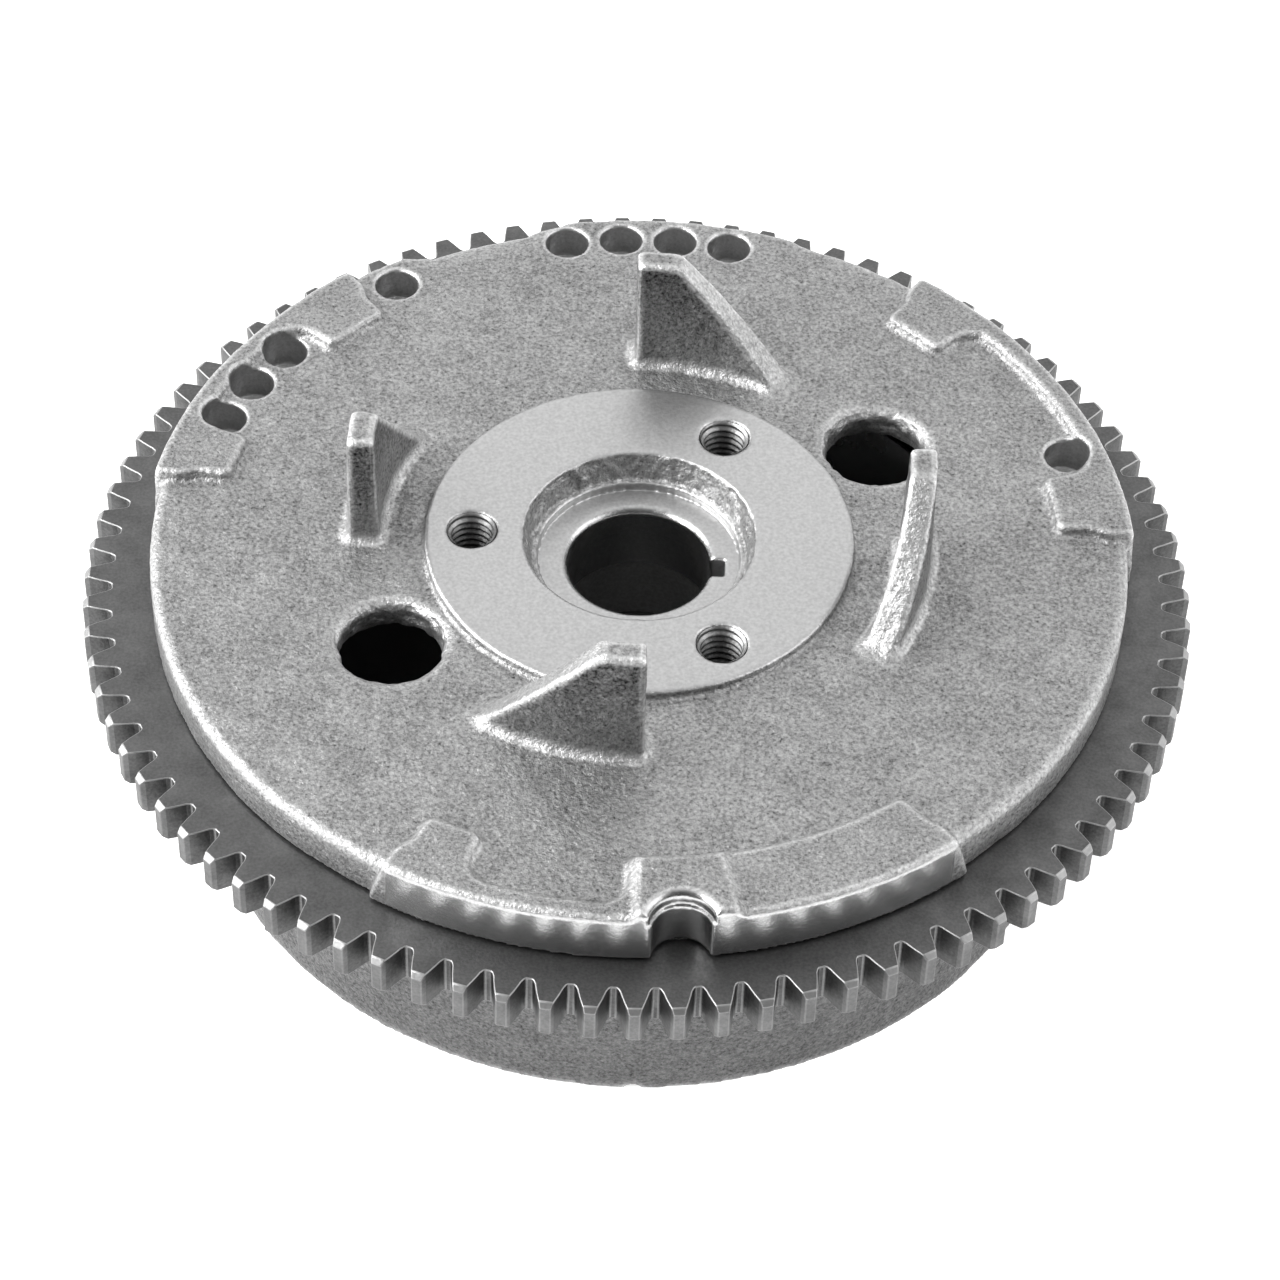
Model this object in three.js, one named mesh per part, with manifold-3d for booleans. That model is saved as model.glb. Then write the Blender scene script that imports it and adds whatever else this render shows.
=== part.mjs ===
// Flywheel of a small engine: an iron casting with its fan fins, hub and magnet skirt, a starter ring
// gear shrunk on below the rim, and the alternator magnets with their spacer cage and cover ring inside
// the skirt. Millimetres. +Z is up, away from the engine; the skirt's lower edge lies on z = 0; the
// crankshaft axis is Z.
import * as THREE from "three";
import { mergeVertices } from "three/addons/utils/BufferGeometryUtils.js";
import Module from "manifold-3d";

const wasm = await Module();
wasm.setup();
const { Manifold, Mesh } = wasm;

// ---------------------------------------------------------------- driving dimensions
// starter ring gear: 10 diametral pitch, 20 degree teeth
const GEAR_TEETH = 85;
const GEAR_MODULE = 2.54;
const PRESSURE_ANGLE = 20;
const GEAR_THICK = 9;
const GEAR_TIP_CHAMFER = 1;
const GEAR_BAND = 11.4; // root circle to ring bore

// casting, radii: the ring gear's bore sets the seat, and the rim and skirt follow the seat
const RIM_OVERHANG = 3.9; // plain rim beyond the gear seat
const MACHINED_STEP = 1.6; // machined rim arcs beyond the plain rim
const SKIRT_STEP = 3.1; // skirt inside the gear seat
const SKIRT_DRAFT = 1.2;
const SKIRT_WALL = 8;
const HUB_FACE_R = 42.6;
const HUB_UNDER_STEP = 1.6; // thick hub under the web, inside the hub face's radius
const BOSS_WALL = 10.9; // round the bore's large end
const BOSS_DRAFT = 1.5;

// casting, heights
const SKIRT_DEPTH = 50.5; // skirt edge to the top of the ring gear
const RIM_HEIGHT = 9.8; // rim top above the ring gear
const HUB_STEP = 1.8; // hub face above the web
const PAD_STEP = 2; // rim pads above the web
const TIMING_PAD_STEP = 3.4; // pad with the timing notch, above the web
const FIN_HEIGHT = 26.4; // fin tips above the web
const WEB_THICK = 7.5;
const HUB_UNDER_THICK = 5; // thick hub below the web's underside
const BOSS_LENGTH = 32; // hub recess floor to the lower end of the boss
const CUP_FILLET = 5; // inside corner between skirt and web

// bore, keyway and hub recess
const BORE_R = 14.1; // small end
const BORE_TAPER = 1 / 8; // on diameter
const KEY_WIDTH = 4.76;
const KEY_DEPTH = 3.1;
const KEY_ANGLE = -4;
const WASHER_SEAT = 6.1; // width of the machined ring round the bore
const RECESS_STEP = 2.9; // cast wall of the recess beyond the washer seat
const RECESS_DEPTH = 7.3;

// holes
const PULLER_COUNT = 3;
const PULLER_ANGLE = 60;
const PULLER_MARGIN = 6.2; // hole circle beyond the boss
const PULLER_DRILL_R = 3.97; // tapping drill of 3/8-16
const PULLER_CHAMFER = 1.23;
const AIR_HOLE_R = 10;
const AIR_HOLE_MARGIN = 13.2; // hole circle beyond the hub face
const AIR_HOLE_ANGLE = 31.8;
const AIR_HOLE_EDGE = 1.9; // rounding of the upper edge
const BALANCE_R = 4.5;
const BALANCE_MARGIN = 6; // hole circle inside the plain rim
const BALANCE_FLOOR = 1.6; // full-width end of a hole above the rim's underside
const BALANCE_PITCH = 7.3; // degrees between neighbours in a row
const BALANCE_ROWS = [[18.3, 1], [79.2, 4], [125.6, 1], [145.2, 3]]; // first hole's angle, holes in the row

// fins
const FIN_COUNT = 4;
const FIN_MARGIN = 12; // middle of the blade beyond the hub face
const FIN_THICK = 5.6;
const FIN_FOOT = 1.4; // bevel along both feet
const FIN_HEEL = 92.3; // tall end
const FIN_FLAT = 83; // where the tip flat ends and the slope starts
const FIN_TOE = 58.6; // where the slope meets the web

// rim pads: angles in degrees
const PAD_WIDTH = 15.8; // pad, across the rim
const BAND_WIDTH = 5.1; // narrow band between pads
const PAD_CORNER = 2.4;
const PAD_EDGE = 1;
const POCKET_CORNER = 5;
const NOTCH_ANGLE = 275.9;
const NOTCH_R = 5.7;
const NOTCH_MARGIN = 1; // notch's axis outside the machined rim
const SKIRT_NOTCH_R = 1.2;
const SKIRT_NOTCH_ANGLE = 271.5;

// alternator magnets, their cage and cover
const MAGNET_COUNT = 12;
const MAGNET_THICK = 7;
const MAGNET_GAP = 3.4; // between neighbours
const MAGNET_INSET = 6; // lower end of the magnets above the skirt edge
const CAGE_RING = 3; // height of the cage's ring above the magnets
const CAGE_MARGIN = 6.5; // cage below the corner fillet
const CAGE_RECESS = 1.2; // cage's inside behind the magnets' inside
const COVER_THICK = 0.8;

// fits
const CONTACT = 0.3; // between two pieces that touch
const SEAT_RELIEF = 0.7; // rim underside above the ring gear

// ---------------------------------------------------------------- derived dimensions
const PITCH_R = (GEAR_TEETH * GEAR_MODULE) / 2;
const TIP_R = PITCH_R + GEAR_MODULE;
const ROOT_R = PITCH_R - 1.25 * GEAR_MODULE;
const GEAR_BORE_R = ROOT_R - GEAR_BAND;
const GEAR_TOP = SKIRT_DEPTH;
const GEAR_BOTTOM = GEAR_TOP - GEAR_THICK;
const SEAT_R = GEAR_BORE_R - CONTACT;
const RIM_R = SEAT_R + RIM_OVERHANG;
const MACHINED_R = RIM_R + MACHINED_STEP;
const SKIRT_R = SEAT_R - SKIRT_STEP;
const SKIRT_BORE_R = SKIRT_R - SKIRT_WALL;
const PAD_INNER_R = MACHINED_R - PAD_WIDTH;
const BAND_INNER_R = MACHINED_R - BAND_WIDTH;
const NOTCH_CENTRE_R = MACHINED_R + NOTCH_MARGIN;
const BALANCE_CIRCLE = RIM_R - BALANCE_MARGIN;
const RIM_UNDER = GEAR_TOP + SEAT_RELIEF;
const WEB_TOP = GEAR_TOP + RIM_HEIGHT;
const WEB_UNDER = WEB_TOP - WEB_THICK;
const HUB_UNDER = WEB_UNDER - HUB_UNDER_THICK;
const HUB_TOP = WEB_TOP + HUB_STEP;
const RECESS_FLOOR = HUB_TOP - RECESS_DEPTH;
const BOSS_BOTTOM = RECESS_FLOOR - BOSS_LENGTH;
const BORE_END_R = BORE_R + (BOSS_LENGTH * BORE_TAPER) / 2;
const BOSS_R = BORE_END_R + BOSS_WALL;
const WASHER_R = BORE_R + WASHER_SEAT;
const RECESS_R = WASHER_R + RECESS_STEP;
const HUB_UNDER_R = HUB_FACE_R - HUB_UNDER_STEP;
const PULLER_CIRCLE = BOSS_R + PULLER_MARGIN;
const AIR_HOLE_CIRCLE = HUB_FACE_R + AIR_HOLE_MARGIN;
const FIN_R = HUB_FACE_R + FIN_MARGIN;
const PAD_TOP = WEB_TOP + PAD_STEP;
const TIMING_PAD_TOP = WEB_TOP + TIMING_PAD_STEP;
const FIN_TOP = WEB_TOP + FIN_HEIGHT;
const MAGNET_OUTER_R = SKIRT_BORE_R - CONTACT;
const MAGNET_INNER_R = MAGNET_OUTER_R - MAGNET_THICK;
const CAGE_Z1 = WEB_UNDER - CUP_FILLET - CAGE_MARGIN;
const CAGE_Z0 = CAGE_Z1 - CAGE_RING;
const CAGE_INNER_R = MAGNET_INNER_R + CAGE_RECESS;
const MAGNET_Z0 = MAGNET_INSET;
const MAGNET_Z1 = CAGE_Z0 - CONTACT;

const DEG = Math.PI / 180;
const CASTING_STEPS = 72;
const HUB_STEPS = 44;
const RING_STEPS = 60;

// ---------------------------------------------------------------- solids
const toSolid = (positions, triangles) =>
  new Manifold(
    new Mesh({
      numProp: 3,
      vertProperties: new Float32Array(positions.flat()),
      triVerts: new Uint32Array(triangles.flat()),
    }),
  );

// A three.js geometry as a solid.
function solid(geometry) {
  const bare = new THREE.BufferGeometry();
  bare.setAttribute("position", geometry.getAttribute("position"));
  bare.setIndex(geometry.index);
  const merged = mergeVertices(bare, 1e-4);
  return new Manifold(
    new Mesh({
      numProp: 3,
      vertProperties: merged.attributes.position.array,
      triVerts: new Uint32Array(merged.index.array),
    }),
  );
}

// Closed loops of equal length joined in order.
// Each loop turns anticlockwise seen from where the sweep comes from.
function loft(loops, closed = false) {
  const n = loops[0].length;
  const count = loops.length;
  const triangles = [];
  for (let i = 0; i < (closed ? count : count - 1); i++) {
    const a = i * n;
    const b = ((i + 1) % count) * n;
    for (let j = 0; j < n; j++) {
      const k = (j + 1) % n;
      triangles.push([a + j, b + j, b + k], [a + j, b + k, a + k]);
    }
  }
  return toSolid(loops.flat(), closed ? triangles : [...triangles, ...caps(loops)]);
}

// End faces of an open loft, cut in the plane of the first loop.
function caps(loops) {
  const n = loops[0].length;
  const last = (loops.length - 1) * n;
  const [o, ...rest] = loops[0].map((p) => new THREE.Vector3(...p));
  const normal = new THREE.Vector3();
  rest.slice(1).forEach((p, i) => normal.add(rest[i].clone().sub(o).cross(p.clone().sub(o))));
  const turn = new THREE.Quaternion().setFromUnitVectors(normal.normalize(), new THREE.Vector3(0, 0, 1));
  const flat = (loop) =>
    loop.map((p) => {
      const v = new THREE.Vector3(...p).applyQuaternion(turn);
      return new THREE.Vector2(v.x, v.y);
    });
  const start = THREE.ShapeUtils.triangulateShape(flat(loops[0]), []);
  const end = THREE.ShapeUtils.triangulateShape(flat(loops[loops.length - 1]), []);
  return [...start, ...end.map(([a, b, c]) => [last + a, last + c, last + b])];
}

// A full ring from an outline of [radius, height] corners, anticlockwise with radius to the right.
function turned(outline, steps = CASTING_STEPS) {
  const loops = [];
  for (let i = 0; i < steps; i++) {
    const t = (i / steps) * 2 * Math.PI;
    loops.push(outline.map(([r, z]) => [r * Math.cos(t), r * Math.sin(t), z]));
  }
  return loft(loops, true);
}

// Part of a ring, from angle a0 to a1 in degrees. The outline may depend on how far along it is, 0 to 1.
function arc(outline, a0, a1, steps) {
  const loops = [];
  for (let i = 0; i <= steps; i++) {
    const t = (a0 + ((a1 - a0) * i) / steps) * DEG;
    const shape = typeof outline === "function" ? outline(i / steps) : outline;
    loops.push(shape.map(([r, z]) => [r * Math.cos(t), r * Math.sin(t), z]));
  }
  return loft(loops);
}

// A round cutter or plug on its own axis at [x, y], from [radius, height] pairs going up.
function spindle(x, y, profile, steps = 24) {
  const loops = [...profile].reverse().map(([r, z]) => {
    const loop = [];
    for (let i = 0; i < steps; i++) {
      const t = (i / steps) * 2 * Math.PI;
      loop.push([x + r * Math.cos(t), y + r * Math.sin(t), z]);
    }
    return loop;
  });
  return loft(loops);
}

const at = (r, degrees) => [r * Math.cos(degrees * DEG), r * Math.sin(degrees * DEG)];

// Corners [radius, degrees, fillet] as a plan outline.
// Rim-wise edges follow the circle and corners are rounded.
function plan(corners) {
  const points = [];
  corners.forEach(([r, a, fillet = 0], i) => {
    const [r2, a2, fillet2 = 0] = corners[(i + 1) % corners.length];
    points.push({ p: at(r, a), fillet });
    if (Math.abs(r - r2) > 0.01) return;
    const from = a + (Math.sign(a2 - a) * fillet) / r / DEG;
    const to = a2 - (Math.sign(a2 - a) * fillet2) / r / DEG;
    const steps = Math.max(1, Math.round(Math.abs(to - from) / 3.75));
    for (let k = 1; k < steps; k++) points.push({ p: at(r, from + ((to - from) * k) / steps), fillet: 0 });
  });
  return points.flatMap(({ p, fillet }, i) => {
    if (!fillet) return [p];
    return rounded(points.at(i - 1).p, p, points[(i + 1) % points.length].p, fillet);
  });
}

// Points of a corner at b between a and c, rounded with radius r.
function rounded(a, b, c, r) {
  const B = new THREE.Vector2(...b);
  const u = new THREE.Vector2(...a).sub(B).normalize();
  const v = new THREE.Vector2(...c).sub(B).normalize();
  const half = Math.acos(THREE.MathUtils.clamp(u.dot(v), -1, 1)) / 2;
  const centre = B.clone().addScaledVector(u.clone().add(v).normalize(), r / Math.sin(half));
  const start = B.clone().addScaledVector(u, r / Math.tan(half)).sub(centre);
  const sweep = (u.cross(v) < 0 ? 1 : -1) * (Math.PI - 2 * half);
  return [0, 1 / 3, 2 / 3, 1].map((t) => {
    const p = start.clone().rotateAround(new THREE.Vector2(), t * sweep).add(centre);
    return [p.x, p.y];
  });
}

// The outline drawn in by d on every side.
function inset(outline, d) {
  return outline.map((p, i) => {
    const P = new THREE.Vector2(...p);
    const before = P.clone().sub(new THREE.Vector2(...outline.at(i - 1))).normalize();
    const after = new THREE.Vector2(...outline[(i + 1) % outline.length]).sub(P).normalize();
    const n1 = new THREE.Vector2(-before.y, before.x);
    const n2 = new THREE.Vector2(-after.y, after.x);
    const m = n1.clone().add(n2).normalize();
    P.addScaledVector(m, d / Math.max(0.35, m.dot(n1)));
    return [P.x, P.y];
  });
}

// An upright block from z0 to z1 on an anticlockwise plan outline, its top edge bevelled by `edge`.
function plateau(outline, z0, z1, edge) {
  const level = (shape, z) => shape.map(([x, y]) => [x, y, z]);
  const top = inset(outline, edge);
  return loft([level(top, z1), level(outline, z1 - edge), level(outline, z0)]);
}

const joined = (solids) => solids.reduce((a, b) => a.add(b));

// ---------------------------------------------------------------- casting
// Corners of a quarter round from [r0, z0] to [r1, z1]; `flat` is true where it starts along the radius.
function quarter([r0, z0], [r1, z1], flat, steps = 3) {
  const points = [];
  for (let i = 0; i <= steps; i++) {
    const t = ((i / steps) * Math.PI) / 2;
    const [c, s] = [1 - Math.cos(t), Math.sin(t)];
    points.push(flat ? [r0 + (r1 - r0) * s, z0 + (z1 - z0) * c] : [r0 + (r1 - r0) * c, z0 + (z1 - z0) * s]);
  }
  return points;
}

// Cross-section of the web, the skirt below it and the plain rim, anticlockwise.
function webOutline() {
  const skirtTop = GEAR_BOTTOM - 1.5;
  const rimEdge = 1.8;
  const skirtEdge = 1.2;
  const inner = HUB_UNDER_R - 5;
  return [
    [inner, WEB_UNDER],
    ...quarter([SKIRT_BORE_R - CUP_FILLET, WEB_UNDER], [SKIRT_BORE_R, WEB_UNDER - CUP_FILLET], true, 2),
    [SKIRT_BORE_R, 0.8],
    [SKIRT_BORE_R + 0.8, 0],
    [SKIRT_R - skirtEdge, 0],
    [SKIRT_R, skirtEdge],
    [SKIRT_R + SKIRT_DRAFT, skirtTop],
    [SEAT_R, skirtTop + 1],
    [SEAT_R, RIM_UNDER],
    [RIM_R, RIM_UNDER],
    ...quarter([RIM_R, WEB_TOP - rimEdge], [RIM_R - rimEdge, WEB_TOP], false),
    [inner, WEB_TOP],
  ];
}

// Cross-section of the hub, anticlockwise from the bore's lower end.
function hubOutline() {
  return [
    [BORE_END_R + 1, BOSS_BOTTOM],
    [BOSS_R - BOSS_DRAFT - 1, BOSS_BOTTOM],
    [BOSS_R - BOSS_DRAFT, BOSS_BOTTOM + 1],
    [BOSS_R, HUB_UNDER - 1.5],
    [BOSS_R + 0.5, HUB_UNDER - 0.5],
    [BOSS_R + 1.5, HUB_UNDER],
    [HUB_UNDER_R - 1, HUB_UNDER],
    [HUB_UNDER_R, HUB_UNDER + 1],
    [HUB_UNDER_R + 0.5, WEB_UNDER - 1.5],
    [HUB_UNDER_R + 2, WEB_UNDER + 0.1],
    [HUB_FACE_R + 1.6, WEB_UNDER + 2],
    [HUB_FACE_R + 1.6, WEB_TOP - 0.5],
    [HUB_FACE_R + 1.4, WEB_TOP + 0.1],
    [HUB_FACE_R + 0.4, WEB_TOP + 0.7],
    [HUB_FACE_R, HUB_TOP],
    [RECESS_R + 0.2, HUB_TOP],
    [RECESS_R - 0.4, HUB_TOP - 1],
    [WASHER_R + 1, RECESS_FLOOR + 2.1],
    [WASHER_R, RECESS_FLOOR + 1.9],
    [WASHER_R - 0.3, RECESS_FLOOR],
    [BORE_R + 1, RECESS_FLOOR],
    [BORE_R, RECESS_FLOOR - 1],
    [BORE_END_R, BOSS_BOTTOM + 1],
  ];
}

// One fan blade: a concentric blade with a flat tip at its tall end and a long slope down to the web.
function fin(turn) {
  const root = WEB_TOP - 4;
  const slope = (FIN_TOP - WEB_TOP) / (FIN_FLAT - FIN_TOE);
  const heel = FIN_HEEL + turn;
  const toe = FIN_TOE - 1.5 + turn;
  const steps = 11;
  const section = (t) => {
    const angle = toe + (heel - toe) * t - turn;
    const top = Math.min(FIN_TOP, WEB_TOP + (angle - FIN_TOE) * slope);
    const rise = Math.max(0, top - WEB_TOP) / FIN_HEIGHT;
    const foot = FIN_THICK / 2 + 0.3;
    const tip = foot - 0.5 * rise;
    const edge = Math.min(1.3, 0.4 + 4 * rise);
    return [
      [FIN_R - foot, root],
      [FIN_R + foot, root],
      [FIN_R + tip, top - edge],
      [FIN_R + tip - edge, top],
      [FIN_R - tip + edge, top],
      [FIN_R - tip, top - edge],
    ];
  };
  const blade = arc(section, toe, heel, steps);
  const collar = arc(filletOutline(FIN_R, FIN_THICK / 2 + 0.3), toe + 3, heel, 8);
  return blade.add(collar);
}

// Low bevel along both feet of a concentric rib.
function filletOutline(r, half) {
  return [
    [r - half - FIN_FOOT, WEB_TOP - 1],
    [r + half + FIN_FOOT, WEB_TOP - 1],
    [r + half + FIN_FOOT, WEB_TOP + 0.05],
    [r + half, WEB_TOP + FIN_FOOT],
    [r - half, WEB_TOP + FIN_FOOT],
    [r - half - FIN_FOOT, WEB_TOP + 0.05],
  ];
}

// Raised land along the rim from angle a0 to a1, with the machined face on its outside.
const land = (a0, a1) => plan([[BAND_INNER_R, a0], [MACHINED_R, a0], [MACHINED_R, a1], [BAND_INNER_R, a1]]);

const pad = (a0, a1, inner = PAD_INNER_R) =>
  plan([[inner, a0, PAD_CORNER], [MACHINED_R, a0], [MACHINED_R, a1], [inner, a1, PAD_CORNER]]);

function rimPads() {
  const low = (outline) => plateau(outline, RIM_UNDER, PAD_TOP, PAD_EDGE);
  // front group: one outline round the two low pads, the pocket between them and the land
  const front = plan([
    [PAD_INNER_R, 243.2, PAD_CORNER],
    [MACHINED_R, 243.2],
    [MACHINED_R, 307.8],
    [PAD_INNER_R, 307.8, PAD_CORNER],
    [PAD_INNER_R, 276, 0],
    [BAND_INNER_R, 271, POCKET_CORNER],
    [BAND_INNER_R, 251.4, POCKET_CORNER],
    [PAD_INNER_R, 251.4, PAD_CORNER],
  ]);
  return joined([
    low(front),
    plateau(pad(269.8, 283.2, PAD_INNER_R - 0.4), RIM_UNDER, TIMING_PAD_TOP, 1.5),
    low(land(3.4, 53.4)),
    low(pad(3.4, 14.5)),
    low(pad(43, 53.4)),
    low(land(130.6, 171.4)),
    low(pad(130.6, 141.4)),
    low(pad(162.4, 171.4)),
    rearLobe(),
  ]);
}

// Heavier stretch of rim at the back, level with the web.
function rearLobe() {
  const outline = plan([
    [RIM_R - 4, 66],
    [RIM_R - 0.5, 66],
    [MACHINED_R, 74],
    [MACHINED_R, 99],
    [RIM_R - 0.5, 104],
    [RIM_R - 4, 104],
  ]);
  return plateau(outline, RIM_UNDER, WEB_TOP - 0.02, 1.2);
}

// Scoop that lowers the rim's shoulder beside the lobe.
const shoulderScoop = () =>
  arc(
    [
      [RIM_R - 7, WEB_TOP + 1],
      [RIM_R - 7, WEB_TOP - 0.3],
      [RIM_R - 3.6, WEB_TOP - 1.6],
      [RIM_R + 1, WEB_TOP - 6.5],
      [RIM_R + 1, WEB_TOP + 1],
    ],
    104,
    120.5,
    6,
  );

function balanceHoles() {
  const floor = RIM_UNDER + BALANCE_FLOOR;
  const profile = [
    [0.3, floor - BALANCE_R * 0.55],
    [BALANCE_R, floor],
    [BALANCE_R, PAD_TOP + 2],
  ];
  const holes = [];
  for (const [first, count] of BALANCE_ROWS) {
    for (let i = 0; i < count; i++) {
      holes.push(spindle(...at(BALANCE_CIRCLE, first + i * BALANCE_PITCH), profile, 18));
    }
  }
  return joined(holes);
}

// Tapped holes right through the hub, at their drill size.
function pullerHoles() {
  const mouth = PULLER_DRILL_R + PULLER_CHAMFER;
  const profile = [
    [PULLER_DRILL_R, HUB_UNDER - 2],
    [PULLER_DRILL_R, HUB_TOP - PULLER_CHAMFER],
    [mouth, HUB_TOP],
    [mouth, HUB_TOP + 2],
  ];
  const holes = [];
  for (let i = 0; i < PULLER_COUNT; i++) {
    holes.push(spindle(...at(PULLER_CIRCLE, PULLER_ANGLE + (i * 360) / PULLER_COUNT), profile, 22));
  }
  return joined(holes);
}

// Two cast through-holes with rounded upper edges.
function airHoles() {
  const edge = AIR_HOLE_EDGE;
  return joined(
    [0, 180].map((turn) => {
      const profile = [
        [AIR_HOLE_R + 1, WEB_UNDER - 3],
        [AIR_HOLE_R + 0.4, WEB_UNDER],
        [AIR_HOLE_R, WEB_TOP - edge],
        [AIR_HOLE_R + 0.6, WEB_TOP - 0.6],
        [AIR_HOLE_R + edge, WEB_TOP],
        [AIR_HOLE_R + edge, WEB_TOP + 3],
      ];
      return spindle(...at(AIR_HOLE_CIRCLE, AIR_HOLE_ANGLE + turn), profile, 28);
    }),
  );
}

// Half-round timing notch through the rim, with a wider mouth.
function timingNotch() {
  const profile = [
    [NOTCH_R, RIM_UNDER - 5],
    [NOTCH_R, TIMING_PAD_TOP - 3],
    [NOTCH_R + 0.7, TIMING_PAD_TOP - 2.9],
    [NOTCH_R + 0.7, TIMING_PAD_TOP - 1],
    [NOTCH_R + 2.2, TIMING_PAD_TOP + 0.5],
  ];
  const cutter = spindle(...at(NOTCH_CENTRE_R, NOTCH_ANGLE), profile, 28);
  const rimOnly = turned([
    [SEAT_R - 3, RIM_UNDER - 0.1],
    [MACHINED_R + 5, RIM_UNDER - 0.1],
    [MACHINED_R + 5, TIMING_PAD_TOP + 1],
    [SEAT_R - 8, TIMING_PAD_TOP + 1],
    [SEAT_R - 8, RIM_UNDER + 2],
  ]);
  return cutter.intersect(rimOnly);
}

function keyway() {
  const reach = BORE_R + KEY_DEPTH;
  const depth = BOSS_LENGTH + 20;
  const box = new THREE.BoxGeometry(reach, KEY_WIDTH, depth);
  box.translate(reach / 2, 0, BOSS_BOTTOM - 10 + depth / 2);
  box.rotateZ(KEY_ANGLE * DEG);
  return solid(box);
}

// Small half-round notch across the skirt's lower edge.
function skirtNotch() {
  const cutter = new THREE.CylinderGeometry(SKIRT_NOTCH_R, SKIRT_NOTCH_R, SKIRT_WALL, 12);
  cutter.rotateZ(90 * DEG);
  cutter.translate(SKIRT_R, 0, 0);
  cutter.rotateZ(SKIRT_NOTCH_ANGLE * DEG);
  return solid(cutter);
}

function casting() {
  const fins = [];
  for (let i = 0; i < FIN_COUNT; i++) fins.push(fin((i * 360) / FIN_COUNT));
  return turned(webOutline())
    .add(turned(hubOutline(), HUB_STEPS))
    .add(rimPads())
    .add(joined(fins))
    .subtract(shoulderScoop())
    .subtract(balanceHoles())
    .subtract(pullerHoles())
    .subtract(airHoles())
    .subtract(timingNotch())
    .subtract(keyway())
    .subtract(skirtNotch());
}

// ---------------------------------------------------------------- ring gear
const involute = (angle) => Math.tan(angle) - angle;

// Half the angle a tooth takes up at radius r, in radians.
function halfTooth(r) {
  const alpha = PRESSURE_ANGLE * DEG;
  const here = Math.acos((PITCH_R * Math.cos(alpha)) / r);
  return Math.PI / (2 * GEAR_TEETH) + involute(alpha) - involute(here);
}

function ringGear() {
  const pitch = (2 * Math.PI) / GEAR_TEETH;
  const filletR = ROOT_R + 0.8;
  const over = TIP_R + 0.3;
  const outline = [];
  for (let i = 0; i < GEAR_TEETH; i++) {
    const middle = i * pitch;
    const corners = [
      [ROOT_R, -pitch / 2 + 0.004],
      [filletR, -halfTooth(filletR)],
      [over, -halfTooth(over)],
      [over, halfTooth(over)],
      [filletR, halfTooth(filletR)],
      [ROOT_R, pitch / 2 - 0.004],
    ];
    corners.forEach(([r, a]) => outline.push([r * Math.cos(middle + a), r * Math.sin(middle + a)]));
  }
  const level = (z) => outline.map(([x, y]) => [x, y, z]);
  const toothed = loft([level(GEAR_TOP + 1), level(GEAR_BOTTOM - 1)]);
  const c = GEAR_TIP_CHAMFER;
  const tips = turned(
    [
      [SEAT_R - 5, GEAR_BOTTOM],
      [TIP_R - c, GEAR_BOTTOM],
      [TIP_R, GEAR_BOTTOM + c],
      [TIP_R, GEAR_TOP - c],
      [TIP_R - c, GEAR_TOP],
      [SEAT_R - 5, GEAR_TOP],
    ],
    GEAR_TEETH * 2,
  );
  const bore = turned(
    [
      [SEAT_R - 8, GEAR_BOTTOM - 2],
      [GEAR_BORE_R + 2.6, GEAR_BOTTOM - 2],
      [GEAR_BORE_R, GEAR_BOTTOM + 0.6],
      [GEAR_BORE_R, GEAR_TOP + 2],
      [SEAT_R - 8, GEAR_TOP + 2],
    ],
    CASTING_STEPS,
  );
  return toothed.intersect(tips).subtract(bore);
}

// ---------------------------------------------------------------- alternator magnets
function magnet(i) {
  const pitch = 360 / MAGNET_COUNT;
  const half = pitch / 2 - (MAGNET_GAP / 2 / MAGNET_INNER_R) / DEG;
  const c = 0.8;
  const outline = [
    [MAGNET_INNER_R + c, MAGNET_Z0],
    [MAGNET_OUTER_R - c, MAGNET_Z0],
    [MAGNET_OUTER_R, MAGNET_Z0 + c],
    [MAGNET_OUTER_R, MAGNET_Z1 - c],
    [MAGNET_OUTER_R - c, MAGNET_Z1],
    [MAGNET_INNER_R + c, MAGNET_Z1],
    [MAGNET_INNER_R, MAGNET_Z1 - c],
    [MAGNET_INNER_R, MAGNET_Z0 + c],
  ];
  return arc(outline, i * pitch - half, i * pitch + half, 6);
}

// Moulded cage: a ring above the magnets with one finger down between each pair.
function spacerCage() {
  const ring = turned(
    [
      [CAGE_INNER_R, CAGE_Z0],
      [MAGNET_OUTER_R, CAGE_Z0],
      [MAGNET_OUTER_R, CAGE_Z1],
      [CAGE_INNER_R, CAGE_Z1],
    ],
    RING_STEPS,
  );
  const pitch = 360 / MAGNET_COUNT;
  const half = (MAGNET_GAP / 2 - CONTACT) / MAGNET_OUTER_R / DEG;
  const side = 0.6;
  const outline = [
    [CAGE_INNER_R + side, MAGNET_Z0 + side],
    [MAGNET_OUTER_R - side, MAGNET_Z0 + side],
    [MAGNET_OUTER_R - side, CAGE_Z0 + 1],
    [CAGE_INNER_R + side, CAGE_Z0 + 1],
  ];
  const fingers = [];
  for (let i = 0; i < MAGNET_COUNT; i++) {
    const middle = (i + 0.5) * pitch;
    fingers.push(arc(outline, middle - half, middle + half, 1));
  }
  return ring.add(joined(fingers));
}

// Thin stainless ring inside the magnets, its lower flange turned out under them.
function coverRing() {
  const r1 = MAGNET_INNER_R - CONTACT;
  const r0 = r1 - COVER_THICK;
  const z0 = MAGNET_Z0 - CONTACT - COVER_THICK;
  return turned(
    [
      [r0 + 0.8, z0],
      [MAGNET_OUTER_R - 0.2, z0],
      [MAGNET_OUTER_R - 0.2, z0 + COVER_THICK],
      [r1, z0 + COVER_THICK],
      [r1, CAGE_Z1],
      [r0, CAGE_Z1],
      [r0, z0 + 0.8],
    ],
    RING_STEPS,
  );
}

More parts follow.
